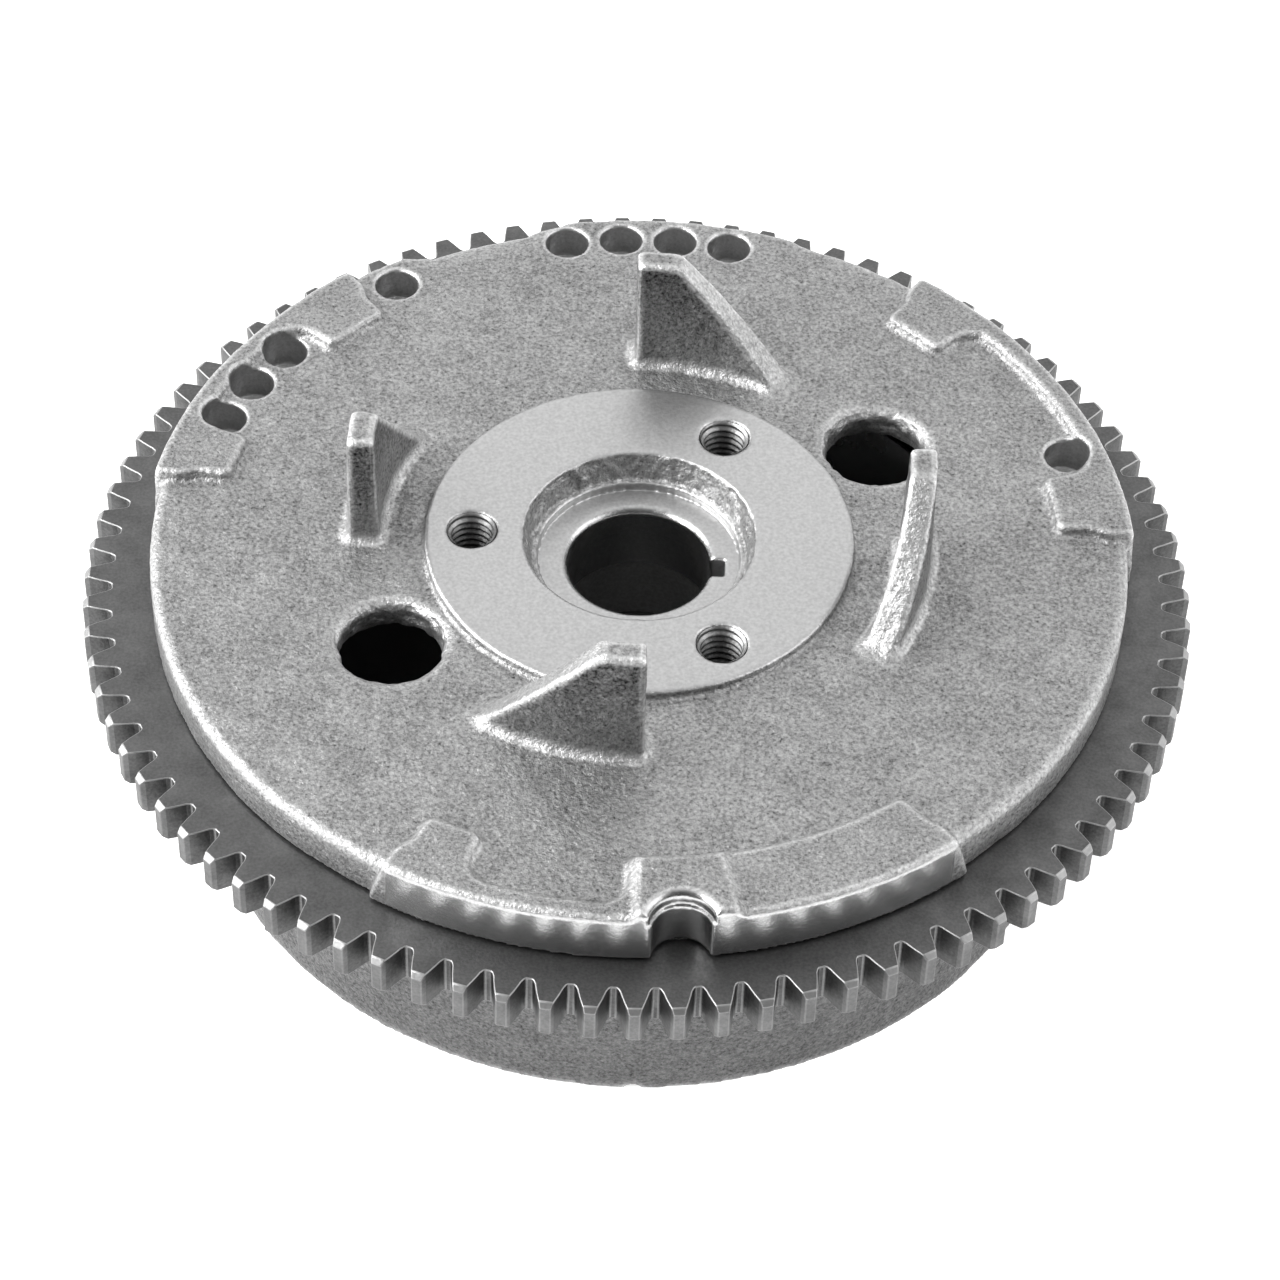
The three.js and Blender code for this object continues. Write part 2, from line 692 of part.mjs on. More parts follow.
// ---------------------------------------------------------------- meshes
const material = (name, color, roughness, metalness) =>
  Object.assign(new THREE.MeshStandardMaterial({ color, roughness, metalness }), { name });

function mesh(name, body, look) {
  const data = body.getMesh();
  const geometry = new THREE.BufferGeometry();
  geometry.setAttribute("position", new THREE.BufferAttribute(data.vertProperties, 3));
  geometry.setIndex(new THREE.BufferAttribute(data.triVerts, 1));
  const out = new THREE.Mesh(geometry, look);
  out.name = name;
  return out;
}

const flywheel = new THREE.Group();
flywheel.name = "flywheel";
flywheel.add(mesh("casting", casting(), material("cast_iron", 0x8c8d8f, 0.55, 0.85)));
flywheel.add(mesh("ring_gear", ringGear(), material("gear_steel", 0x6e7073, 0.3, 1)));
for (let i = 0; i < MAGNET_COUNT; i++) {
  const name = "magnet_" + String(i + 1).padStart(2, "0");
  flywheel.add(mesh(name, magnet(i), material("ferrite", 0x2b2b2d, 0.75, 0.1)));
}
flywheel.add(mesh("magnet_spacer", spacerCage(), material("black_nylon", 0x1c1c1e, 0.6, 0)));
flywheel.add(mesh("magnet_cover", coverRing(), material("stainless", 0xa9abad, 0.3, 1)));

export default flywheel;
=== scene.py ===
"""Looks of the small-engine flywheel: a rough iron casting with fins, hub and pads, its hobbed ring gear,
tapped puller holes and the alternator magnets under the web. Shapes are worked out in millimetres and
scaled to metres. Z is up, the crankshaft axis is Z, angles run anticlockwise from +X."""

import math

import bmesh
import bpy
import numpy as np
from mathutils import Matrix, Vector

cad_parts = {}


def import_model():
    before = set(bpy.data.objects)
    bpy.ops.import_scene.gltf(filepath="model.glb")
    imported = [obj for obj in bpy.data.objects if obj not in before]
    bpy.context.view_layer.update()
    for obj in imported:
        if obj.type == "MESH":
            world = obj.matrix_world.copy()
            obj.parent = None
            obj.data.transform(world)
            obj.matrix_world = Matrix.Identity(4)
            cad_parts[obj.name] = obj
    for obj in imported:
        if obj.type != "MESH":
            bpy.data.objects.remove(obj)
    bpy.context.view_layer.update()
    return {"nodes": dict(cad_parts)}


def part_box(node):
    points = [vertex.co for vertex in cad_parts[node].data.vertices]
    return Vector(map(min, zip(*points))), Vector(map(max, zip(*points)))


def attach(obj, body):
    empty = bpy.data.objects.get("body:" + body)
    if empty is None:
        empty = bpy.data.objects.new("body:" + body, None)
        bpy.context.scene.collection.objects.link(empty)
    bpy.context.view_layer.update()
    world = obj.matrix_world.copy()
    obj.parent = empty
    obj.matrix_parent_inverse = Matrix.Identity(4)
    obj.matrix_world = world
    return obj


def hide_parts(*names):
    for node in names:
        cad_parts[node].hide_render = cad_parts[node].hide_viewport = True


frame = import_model()
MM = 0.001


def heights(node):
    """Lowest and highest point of a CAD node, in millimetres."""
    low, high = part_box(node)
    return low.z / MM, high.z / MM


# ------------------------------------------------------------------ sizes, millimetres and degrees
GEAR_BOTTOM, GEAR_TOP = heights("ring_gear")
SKIRT_BOTTOM, FIN_TOP = heights("casting")

# ring gear
TEETH = 85
MODULE = 2.54
PRESSURE_ANGLE = 20
PITCH_R = TEETH * MODULE / 2
TIP_R = PITCH_R + MODULE
ROOT_R = PITCH_R - 1.25 * MODULE
GEAR_BORE_R = ROOT_R - 11.4
TIP_CHAMFER = 1.0
CHAMFER_R = TIP_R - TIP_CHAMFER
GEAR_RING_RADII = [ROOT_R - 1.2, GEAR_BORE_R + 3, GEAR_BORE_R]
BROKEN_EDGE = 0.22

# rim, web and skirt
SEAT_R = GEAR_BORE_R - 0.3
RIM_R = SEAT_R + 3.9
MACHINED_R = RIM_R + 1.6
SKIRT_R = SEAT_R - 3.1
SKIRT_DRAFT = 1.2
SKIRT_BORE_R = SKIRT_R - 8
RIM_UNDER = GEAR_TOP + 0.7
RIM_ROUND = 1.9
WEB_TOP = FIN_TOP - 26.4
WEB_UNDER = WEB_TOP - 7.5
CUP_FILLET = 5

# the uneven rear of the rim
REAR_LOBE = (69, 103)
REAR_LOBE_RISE = 1.7
SIDE_LOBE = (120, 131)
SIDE_LOBE_RISE = 1.2
DIP_ANGLE = 112.3
DIP_HALF = 9.5
DIP_R = 93.2
DIP_SLOPE = 0.62

# hub, boss and bore
HUB_TOP = WEB_TOP + 1.8
HUB_R = 42.6
HUB_UNDER = WEB_UNDER - 5
HUB_UNDER_R = HUB_R - 1.6
RECESS_FLOOR = HUB_TOP - 7.3
BOSS_BOTTOM = RECESS_FLOOR - 32
BOSS_R = 27
BOSS_DRAFT = 1.5
BORE_R = 14.1
BORE_TAPER = 1 / 16  # on radius
BORE_CHAMFER = 1.0
WASHER_R = 20.2
WASHER_TOP = RECESS_FLOOR + 1.9
RECESS_R = 23.1
KEY_WIDTH = 4.76
KEY_REACH = 17.2
KEY_ANGLE = -4

# raised bands with their pads, and the timing pad with its notch
PAD_TOP = WEB_TOP + 2
PAD_SLOPE = 0.45
TIMING_TOP = WEB_TOP + 3.4
TIMING_SLOPE = 0.6
PAD_INNER_R = MACHINED_R - 15.8
BAND_INNER_R = MACHINED_R - 5.1
BANDS = [(243.2, 307.8), (3.4, 53.4), (130.6, 171.4)]
PADS = [(243.2, 251.4), (269.8, 307.8), (3.4, 14.5), (43, 53.4), (130.6, 141.4), (162.4, 171.4)]
TIMING_PAD = (269.8, 283.2)
NOTCH_ANGLE = 275.9
NOTCH_R = 5.7
NOTCH_CENTRE_R = MACHINED_R + 1
FRONT_PADS = (240, 310)  # angles of the pads nearest the camera

# fins, 90 degrees apart
FIN_R = HUB_R + 12
FIN_HALF = 2.8
FIN_HEEL = 92.3
FIN_FLAT = 83
FIN_TOE = 58.6
FIN_GAP = 15  # an angle between two fins
FIN_ROUND = 1.1

# holes and the mark on the skirt
PULLER_CIRCLE = 33.2
PULLER_ANGLES = [60, 180, 300]
THREAD_PITCH = 25.4 / 16
THREAD_MAJOR_R = 25.4 * 3 / 16
THREAD_MINOR_R = 4.0
AIR_R = 10
AIR_CIRCLE = HUB_R + 13.2
AIR_ANGLES = [31.8, 211.8]
BALANCE_R = 4.5
BALANCE_CIRCLE = RIM_R - 6
BALANCE_FLOOR = RIM_UNDER + 1.6
BALANCE_CONE = 0.55
BALANCE_PITCH = 7.3
BALANCE_ROWS = [(18.3, 1), (79.2, 4), (125.6, 1), (145.2, 3)]
SKIRT_NOTCH_R = 1.5
SKIRT_NOTCH_ANGLE = 271.5

# hidden pieces
MAGNETS = 12
COVER_WALL_R = 73.6

# grid of the casting's skin
FINE_STEP = 0.5
COARSE_STEP = 0.9
LAP = 0.3  # how far the fine and the coarse skin overlap
CORNERS = [(i, j, k) for i in (0, 1) for j in (0, 1) for k in (0, 1)]
SKIRT_SHADE = (GEAR_BOTTOM - 4, GEAR_BOTTOM)  # painted shade: the skin is darkened below the gear between these heights, and its bumps deepened


def at(radius, degrees):
    """The x and y of a point at that radius and angle."""
    a = math.radians(degrees)
    return radius * math.cos(a), radius * math.sin(a)


# ------------------------------------------------------------------ distance fields
# A field is negative inside the metal. Fields are combined with rounded corners of a given radius.
def join(a, b, radius):
    """Both solids, with a fillet where they meet."""
    round_part = np.hypot(np.maximum(radius - a, 0), np.maximum(radius - b, 0))
    return np.maximum(radius, np.minimum(a, b)) - round_part


def keep(a, b, radius):
    """What is in both solids, with a rounded edge where their faces meet."""
    round_part = np.hypot(np.maximum(radius + a, 0), np.maximum(radius + b, 0))
    return np.minimum(-radius, np.maximum(a, b)) + round_part


def drill(a, b, radius):
    """Solid a without b, with a rounded mouth."""
    return keep(a, -b, radius)


class Column:
    """What the fields need at every x, y of a grid, worked out once and used at each height."""

    def __init__(self, x, y):
        self.x, self.y = x, y
        self.r = np.hypot(x, y)
        self.angle = np.degrees(np.arctan2(y, x)) % 360
        self.rim = self.r - self.rim_radius()
        self.land = self.land_plan()
        self.timing = self.sector(*TIMING_PAD, PAD_INNER_R - 0.4, 1.6)
        self.key = self.keyway()

    def off(self, degrees):
        """Angle from a direction, -180 to 180."""
        return (self.angle - degrees + 180) % 360 - 180

    def from_axis(self, radius, degrees):
        """Distance from an upright axis."""
        x, y = at(radius, degrees)
        return np.hypot(self.x - x, self.y - y)

    def sector(self, a0, a1, inner, corner):
        """Distance to a stretch of rim from angle a0 to a1, outside the inner radius."""
        across = inner - self.r
        along = np.radians(np.abs(self.off((a0 + a1) / 2)) - (a1 - a0) / 2) * self.r
        return keep(across, along, corner)

    def land_plan(self):
        """Plan of the raised bands and pads, with rounded inside corners."""
        bands = [self.sector(a0, a1, BAND_INNER_R, 0.8) for a0, a1 in BANDS]
        plan = np.minimum.reduce(bands)
        for a0, a1 in PADS:
            plan = join(plan, self.sector(a0, a1, PAD_INNER_R, 2.4), 5)
        return plan

    def rim_radius(self):
        """Radius of the rough rim, with its two lobes."""
        a = self.angle

        def bump(a0, a1, soft):
            """1 between two angles, falling off smoothly at both ends."""
            rise = np.clip((a - a0) / soft, 0, 1)
            fall = np.clip((a1 - a) / soft, 0, 1)
            both = np.minimum(rise, fall)
            return both * both * (3 - 2 * both)

        wander = 0.25 * np.sin(np.radians(a * 3 + 40)) + 0.15 * np.sin(np.radians(a * 7))
        return RIM_R + wander + REAR_LOBE_RISE * bump(*REAR_LOBE, 4) + SIDE_LOBE_RISE * bump(*SIDE_LOBE, 3)

    def keyway(self):
        """Distance to the keyway's box in plan."""
        a = math.radians(KEY_ANGLE)
        along = self.x * math.cos(a) + self.y * math.sin(a)
        across = np.abs(self.y * math.cos(a) - self.x * math.sin(a))
        return np.maximum.reduce([across - KEY_WIDTH / 2, along - KEY_REACH, -along])


def upper_body(c, z):
    """The rim, web, hub and everything raised on them, at height z over the columns c."""
    body = keep(c.rim, z - WEB_TOP, RIM_ROUND)
    body = dip(c, z, body)
    body = join(body, fins(c, z), 2)
    body = join(body, raised(c.land, z, PAD_TOP, PAD_SLOPE, 0.7), 0.8)
    body = join(body, raised(c.timing, z, TIMING_TOP, TIMING_SLOPE, 0.5), 0.8)
    body = keep(body, c.r - MACHINED_R, 1.1)
    hub = keep(c.r - HUB_R - 0.05 * (WEB_TOP - z), z - HUB_TOP, 0.35)
    return join(body, hub, 0.7)


def dip(c, z, body):
    """Slopes the rim's shoulder down at the rear, fading out at both ends of the dip."""
    shoulder = (z - WEB_TOP + DIP_SLOPE * (c.r - DIP_R)) * 0.85  # made a distance, across the slope
    middle = np.clip(1 - np.abs(c.off(DIP_ANGLE)) / DIP_HALF, 0, 1)
    dipped = keep(body, shoulder - 3 * (1 - np.minimum(middle * 3, 1)), 1.5)
    return np.where(middle > 0, dipped, body)


def raised(plan, z, top, slope, rounding):
    """A flat-topped land with sloping sides over its plan."""
    side = (plan + slope * (z - WEB_TOP)) / math.hypot(1, slope)
    return keep(side, z - top, rounding)


def fins(c, z):
    """Four equal concentric blades, each with a flat tip at its heel and a long slope to its toe."""
    turn = (c.angle - FIN_GAP) % 90 + FIN_GAP
    along = np.radians(FIN_HEEL - turn) * FIN_R
    flat = math.radians(FIN_HEEL - FIN_FLAT) * FIN_R
    length = math.radians(FIN_HEEL - FIN_TOE) * FIN_R
    rise = (FIN_TOP - WEB_TOP) / (length - flat)
    slope = (z - FIN_TOP + rise * (along - flat)) / math.hypot(1, rise)
    side = keep(keep(-along, slope, FIN_ROUND), z - FIN_TOP, FIN_ROUND)
    draft = 0.5 * (z - WEB_TOP) / (FIN_TOP - WEB_TOP)
    across = np.abs(c.r - FIN_R) - (FIN_HALF + 0.4 - draft)
    return keep(side, across, FIN_ROUND)


def lower_body(c, z):
    """The skirt, ring gear seat, web underside, thick hub and boss, as one solid below the web."""
    skirt_top = GEAR_BOTTOM - 1.5
    skirt_r = SKIRT_R + SKIRT_DRAFT * np.clip(z / skirt_top, 0, 1)
    outside = c.r - skirt_r
    seat = keep(c.r - SEAT_R, skirt_top + 0.6 - z, 0.6)
    rim = keep(c.r - MACHINED_R - 2, RIM_UNDER - z, 0.5)
    outside = np.minimum(join(outside, seat, 0.6), rim)
    outside = keep(outside, SKIRT_BOTTOM - z, 1.2)
    cup = keep(c.r - SKIRT_BORE_R, z - WEB_UNDER, CUP_FILLET)
    boss_r = BOSS_R - BOSS_DRAFT * (HUB_UNDER - z) / (HUB_UNDER - BOSS_BOTTOM)
    boss = keep(c.r - boss_r, BOSS_BOTTOM - z, 1.0)
    hub = keep(c.r - HUB_UNDER_R, HUB_UNDER - z, 1.0)
    inside = join(join(-cup, hub, 2), boss, 2.5)
    return keep(outside, inside, 0.8)


def holes(c, z, body):
    """The casting at height z with its drilled holes, bore and notches cut out."""
    for a in AIR_ANGLES:
        draft = 0.12 * max(0, WEB_UNDER + 2 - z)
        body = drill(body, c.from_axis(AIR_CIRCLE, a) - AIR_R - draft, 2.4)
    for a in balance_angles():
        out = c.from_axis(BALANCE_CIRCLE, a)
        cone = (BALANCE_FLOOR - z - BALANCE_CONE * (BALANCE_R - out)) * 0.87
        body = drill(body, np.maximum(out - BALANCE_R, cone), 0.25)
    for a in PULLER_ANGLES:
        mouth = THREAD_MAJOR_R + 0.1 + min(0.8, max(0, z - (HUB_TOP - 0.5)))
        body = np.maximum(body, mouth - c.from_axis(PULLER_CIRCLE, a))
    return notches(c, z, bore(c, z, body))


def balance_angles():
    """Where the rim is drilled for balance."""
    return [first + i * BALANCE_PITCH for first, count in BALANCE_ROWS for i in range(count)]


def bore(c, z, body):
    """The recess with its washer seat, the tapered bore and the keyway."""
    wall = WASHER_R + 1 + (z - WASHER_TOP) * (RECESS_R - WASHER_R - 1) / (HUB_TOP - WASHER_TOP)
    body = drill(body, np.maximum(c.r - wall, WASHER_TOP - z), 0.4)
    body = np.maximum(body, -np.maximum(c.r - WASHER_R, RECESS_FLOOR - z))
    radius = BORE_R + BORE_TAPER * (RECESS_FLOOR - z) + max(0, z - RECESS_FLOOR + BORE_CHAMFER)
    body = np.maximum(body, radius - c.r)
    if z < RECESS_FLOOR + 6:
        body = np.maximum(body, -c.key)
    return body


def notches(c, z, body):
    """The stepped timing notch and the small mark across the skirt's lower edge."""
    out = c.from_axis(NOTCH_CENTRE_R, NOTCH_ANGLE)
    step = 0.5 * (z > TIMING_TOP - 3.4)
    mouth = NOTCH_R + step + min(1.2, max(0, z - (TIMING_TOP - 1.1)))
    body = np.maximum(body, np.minimum(mouth - out, z - RIM_UNDER + 0.5))
    x, y = at(1, SKIRT_NOTCH_ANGLE)
    across = np.hypot(c.x * y - c.y * x, z)
    along = c.x * x + c.y * y
    return np.maximum(body, np.minimum(SKIRT_NOTCH_R - across, along - SKIRT_R / 2))


def casting_field(c, z):
    """The whole casting at height z."""
    body = np.maximum(upper_body(c, z), lower_body(c, z))
    return holes(c, z, body)


# ------------------------------------------------------------------ meshes
def surface(step, low, high):
    """Vertices and quads of the casting's surface between two heights, one vertex per crossed grid cell."""
    reach = MACHINED_R + 2 * step
    xs = np.arange(-reach, reach + step, step)
    zs = np.arange(low, high + step, step)
    column = Column(*np.meshgrid(xs, xs, indexing="ij"))
    field = np.stack([casting_field(column, z) for z in zs], axis=2).astype(np.float32)
    cells = crossed_cells(field < 0)
    vertices = cell_points(field, np.argwhere(cells)) * step + [xs[0], xs[0], zs[0]]
    return vertices, cell_quads(field < 0, cells)


def crossed_cells(inside):
    """Which grid cells have some corners in the metal and some outside it."""
    size = np.array(inside.shape) - 1
    count = np.zeros(size, np.uint8)
    for offset in CORNERS:
        count += inside[tuple(slice(o, o + n) for o, n in zip(offset, size))]
    return (count > 0) & (count < 8)


def cell_points(field, cell):
    """The mean of the places where each cell's edges cross the surface, in grid steps."""
    total = np.zeros((len(cell), 3))
    crossings = np.zeros(len(cell))
    for axis in range(3):
        for offset in (o for o in CORNERS if o[axis] == 0):
            start = cell + offset
            end = start.copy()
            end[:, axis] += 1
            a, b = field[tuple(start.T)], field[tuple(end.T)]
            crossed = (a < 0) != (b < 0)
            point = start[crossed].astype(float)
            point[:, axis] += (a / (a - b + 1e-12))[crossed]
            total[crossed] += point
            crossings[crossed] += 1
    return total / crossings[:, None]


def cell_quads(inside, cells):
    """A quad through the four cells round each crossed grid edge, facing out of the metal."""
    vertex = np.full(cells.shape, -1, np.int32)
    vertex[cells] = np.arange(cells.sum())
    quads = []
    for axis, (u, v) in enumerate([(1, 2), (2, 0), (0, 1)]):
        near = [slice(None)] * 3
        far = [slice(None)] * 3
        near[axis] = slice(0, -1)
        far[axis] = slice(1, None)
        starts_in = inside[tuple(near)]
        edge = np.argwhere(starts_in != inside[tuple(far)])
        edge = edge[((edge > 0) | (np.arange(3) == axis)).all(1)]
        edge = edge[(edge[:, u] < cells.shape[u]) & (edge[:, v] < cells.shape[v])]
        around = []
        for du, dv in ((0, 0), (-1, 0), (-1, -1), (0, -1)):
            c = edge.copy()
            c[:, u] += du
            c[:, v] += dv
            around.append(vertex[tuple(c.T)])
        quad = np.stack(around, axis=1)
        flip = ~starts_in[tuple(edge.T)]
        quad[flip] = quad[flip][:, ::-1]
        quads.append(quad)
    return np.concatenate(quads)


def vertex_normals(vertices, quads):
    """Unit normals averaged from the quads."""
    a, b, c, d = (vertices[quads[:, i]] for i in range(4))
    face = np.cross(c - a, d - b)
    normals = np.zeros_like(vertices)
    for i in range(4):
        np.add.at(normals, quads[:, i], face)
    return normals / np.maximum(np.linalg.norm(normals, axis=1, keepdims=True), 1e-12)


def value_noise(points, size, seed):
    """Smooth noise from -1 to 1 with that grain size in millimetres."""
    table = np.random.default_rng(seed).uniform(-1, 1, 4096)
    grid = points / size
    base = np.floor(grid).astype(np.int64)
    t = grid - base
    t = t * t * (3 - 2 * t)
    out = np.zeros(len(points))
    for i in (0, 1):
        for j in (0, 1):
            for k in (0, 1):
                q = base + (i, j, k)
                key = (q[:, 0] * 73856093) ^ (q[:, 1] * 19349663) ^ (q[:, 2] * 83492791)
                weight = np.abs(1 - i - t[:, 0]) * np.abs(1 - j - t[:, 1]) * np.abs(1 - k - t[:, 2])
                out += weight * table[key % 4096]
    return out


def add_piece(name, data, slot):
    """A piece of the wheel made from mesh data, with its material."""
    piece = bpy.data.objects.new(name, data)
    bpy.context.scene.collection.objects.link(piece)
    data.materials.append(MATERIALS[slot])
    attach(piece, "root")
    return piece


def add_mesh(name, vertices, faces, slot):
    """A smooth-shaded piece from points in millimetres and quads."""
    data = bpy.data.meshes.new(name)
    faces = np.asarray(faces, np.int32)
    data.vertices.add(len(vertices))
    data.vertices.foreach_set("co", (np.asarray(vertices, float) * MM).astype(np.float32).ravel())
    data.loops.add(faces.size)
    data.loops.foreach_set("vertex_index", faces.ravel())
    data.polygons.add(len(faces))
    data.polygons.foreach_set("loop_start", np.arange(0, faces.size, 4, dtype=np.int32))
    data.update(calc_edges=True)
    data.polygons.foreach_set("use_smooth", np.ones(len(faces), bool))
    data.validate()
    return add_piece(name, data, slot)


def lathe(outline, steps):
    """Points and quads of a closed [radius, height] outline turned about Z."""
    t = np.linspace(0, 2 * math.pi, steps, endpoint=False)
    r, z = np.asarray(outline, float).T[:, None, :]
    rings = np.stack([r * np.cos(t)[:, None], r * np.sin(t)[:, None], z + 0 * t[:, None]], axis=2)
    n = len(outline)
    i, j = np.meshgrid(np.arange(steps), np.arange(n), indexing="ij")
    i2, j2 = (i + 1) % steps, (j + 1) % n
    faces = np.stack([i * n + j, i2 * n + j, i2 * n + j2, i * n + j2], axis=2).reshape(-1, 4)
    return rings.reshape(-1, 3), faces


# ------------------------------------------------------------------ materials
NOISE_LOW, NOISE_HIGH = 0.3, 0.7  # where nearly all of a noise's values lie


def map_range(tree, value, span, result, kind="LINEAR"):
    """A socket that carries a value over from one (low, high) span to another."""
    node = tree.nodes.new("ShaderNodeMapRange")
    node.interpolation_type = kind
    node.inputs["From Min"].default_value, node.inputs["From Max"].default_value = span
    node.inputs["To Min"].default_value, node.inputs["To Max"].default_value = result
    tree.links.new(value, node.inputs["Value"])
    return node.outputs["Result"]


class Nodes:
    """Short calls for building one material's nodes."""

    def __init__(self, name):
        self.material = bpy.data.materials.new(name)
        self.material.use_nodes = True
        self.tree = self.material.node_tree
        self.shader = next(n for n in self.tree.nodes if n.type == "BSDF_PRINCIPLED")
        self.place = self.tree.nodes.new("ShaderNodeTexCoord").outputs["Object"]

    def link(self, value, socket):
        """Links a socket, or sets a constant."""
        if isinstance(value, bpy.types.NodeSocket):
            self.tree.links.new(value, socket)
        else:
            socket.default_value = value

    def noise(self, size, detail=3.0, rough=0.55):
        """Noise whose grain is about that many millimetres."""
        node = self.tree.nodes.new("ShaderNodeTexNoise")
        node.inputs["Scale"].default_value = 1 / (size * MM)
        node.inputs["Detail"].default_value = detail
        node.inputs["Roughness"].default_value = rough
        self.link(self.place, node.inputs["Vector"])
        return node.outputs["Fac"]

    def spread(self, noise, low, high):
        """Noise carried over to values from low to high."""
        return map_range(self.tree, noise, (NOISE_LOW, NOISE_HIGH), (low, high))

    def math(self, kind, a, b):
        """A sum or product of two values."""
        node = self.tree.nodes.new("ShaderNodeMath")
        node.operation = kind
        self.link(a, node.inputs[0])
        self.link(b, node.inputs[1])
        return node.outputs[0]

    def mix(self, share, a, b):
        """From value a to value b by share."""
        node = self.tree.nodes.new("ShaderNodeMix")
        self.link(share, node.inputs["Factor"])
        self.link(a, node.inputs["A"])
        self.link(b, node.inputs["B"])
        return node.outputs["Result"]

    def attribute(self, name):
        """A value stored on the mesh."""
        node = self.tree.nodes.new("ShaderNodeAttribute")
        node.attribute_name = name
        return node.outputs["Fac"]

    def by_height(self, span, result):
        """A value that changes between two heights in millimetres."""
        split = self.tree.nodes.new("ShaderNodeSeparateXYZ")
        self.link(self.place, split.inputs["Vector"])
        return map_range(self.tree, split.outputs["Z"], [z * MM for z in span], result)

    def grey(self, value, tint=(1.0, 1.0, 1.0)):
        """A near-grey colour from a brightness value."""
        node = self.tree.nodes.new("ShaderNodeCombineColor")
        for socket, t in zip(node.inputs, tint):
            self.link(self.math("MULTIPLY", value, t), socket)
        return node.outputs["Color"]

    def bump(self, height, distance, strength=1.0, under=None):
        """A bump of that depth in millimetres, on top of the one under it."""
        node = self.tree.nodes.new("ShaderNodeBump")
        node.inputs["Distance"].default_value = distance * MM
        self.link(strength, node.inputs["Strength"])
        self.link(height, node.inputs["Height"])
        if under is not None:
            self.link(under, node.inputs["Normal"])
        return node.outputs["Normal"]

    def finish(self, colour, roughness, metallic, normal):
        """The material, with these on its shader."""
        self.link(colour, self.shader.inputs["Base Color"])
        self.link(roughness, self.shader.inputs["Roughness"])
        self.link(normal, self.shader.inputs["Normal"])
        self.shader.inputs["Metallic"].default_value = metallic
        return self.material


def cast_iron():
    """Blasted sand-cast skin; the attribute `machined` fades it to ground metal and `edge` adds painted
    highlights (partly real edge wear) and painted shade.
    """
    n = Nodes("cast_iron")
    machined = n.attribute("machined")
    grain = n.noise(0.75, 4.0, 0.65)
    value = n.mix(machined, cast_skin(n, grain), n.spread(n.noise(0.7, 2.0), 0.45, 0.57))
    # painted light: the `edge` attribute adds painted highlights and painted shade to the colour
    value = n.math("ADD", value, n.math("MULTIPLY", n.attribute("edge"), 0.45))
    ground_rough = n.mix(n.attribute("turned"), 0.4, 0.27)
    rough = n.mix(machined, n.spread(grain, 0.6, 0.46), ground_rough)
    depth = n.mix(machined, n.by_height(SKIRT_SHADE, (1.8, 1.0)), 0.14)
    coarse = n.bump(n.noise(3.6, 2.0, 0.5), 0.35, depth)
    middle = n.bump(n.noise(1.2, 3.0, 0.65), 0.34, depth, coarse)
    fine = n.bump(n.noise(0.5, 2.0, 0.6), 0.1, depth, middle)
    return n.finish(n.grey(value), rough, 1.0, fine)


def cast_skin(n, grain):
    """Brightness of the cast skin: grain, wide patches and dark pits, with painted shade on the skirt below
    the gear.
    """
    patches = n.spread(n.noise(9, 4.0, 0.6), -0.05, 0.05)
    pits = map_range(n.tree, n.noise(0.65, 3.0, 0.7), (0.32, 0.44), (-0.19, 0.0))
    skin = n.math("ADD", n.spread(grain, 0.19, 0.53), patches)
    # painted shade: the skin is darker on the skirt below the gear
    return n.math("MULTIPLY", n.math("ADD", skin, pits), n.by_height(SKIRT_SHADE, (0.4, 1.0)))


def gear_steel():
    """Dark hobbed steel with a faint grain; the attribute `edge` paints highlights on its broken edges and
    painted shade on its upright faces.
    """
    n = Nodes("gear_steel")
    soft = n.noise(6, 3.0)
    fine = n.noise(0.6, 2.0)
    value = n.math("ADD", n.spread(soft, 0.12, 0.16), n.spread(fine, -0.02, 0.02))
    # painted light: the `edge` attribute adds painted highlights and painted shade to the colour
    value = n.math("ADD", value, n.math("MULTIPLY", n.attribute("edge"), 0.4))
    return n.finish(n.grey(value), n.spread(soft, 0.52, 0.44), 1.0, n.bump(fine, 0.04))


def ferrite():
    """Sintered ceramic, nearly black, with a fine grain."""
    n = Nodes("ferrite")
    grain = n.noise(0.8)
    colour = n.grey(n.spread(grain, 0.035, 0.07), (1.0, 1.0, 1.04))
    return n.finish(colour, n.spread(grain, 0.7, 0.55), 0.0, n.bump(grain, 0.08))


def black_nylon():
    """Moulded black nylon."""
    n = Nodes("black_nylon")
    grain = n.noise(1.4)
    colour = n.grey(n.spread(grain, 0.016, 0.03))
    return n.finish(colour, n.spread(grain, 0.5, 0.4), 0.0, n.bump(grain, 0.05))


def stainless():
    """Rolled sheet with soft smears."""
    n = Nodes("stainless")
    smear = n.noise(9, 3.0)
    colour = n.grey(n.spread(smear, 0.5, 0.62))
    return n.finish(colour, n.spread(smear, 0.3, 0.22), 1.0, n.bump(n.noise(0.5), 0.02))


MATERIALS = {f.__name__: f() for f in (cast_iron, gear_steel, ferrite, black_nylon, stainless)}


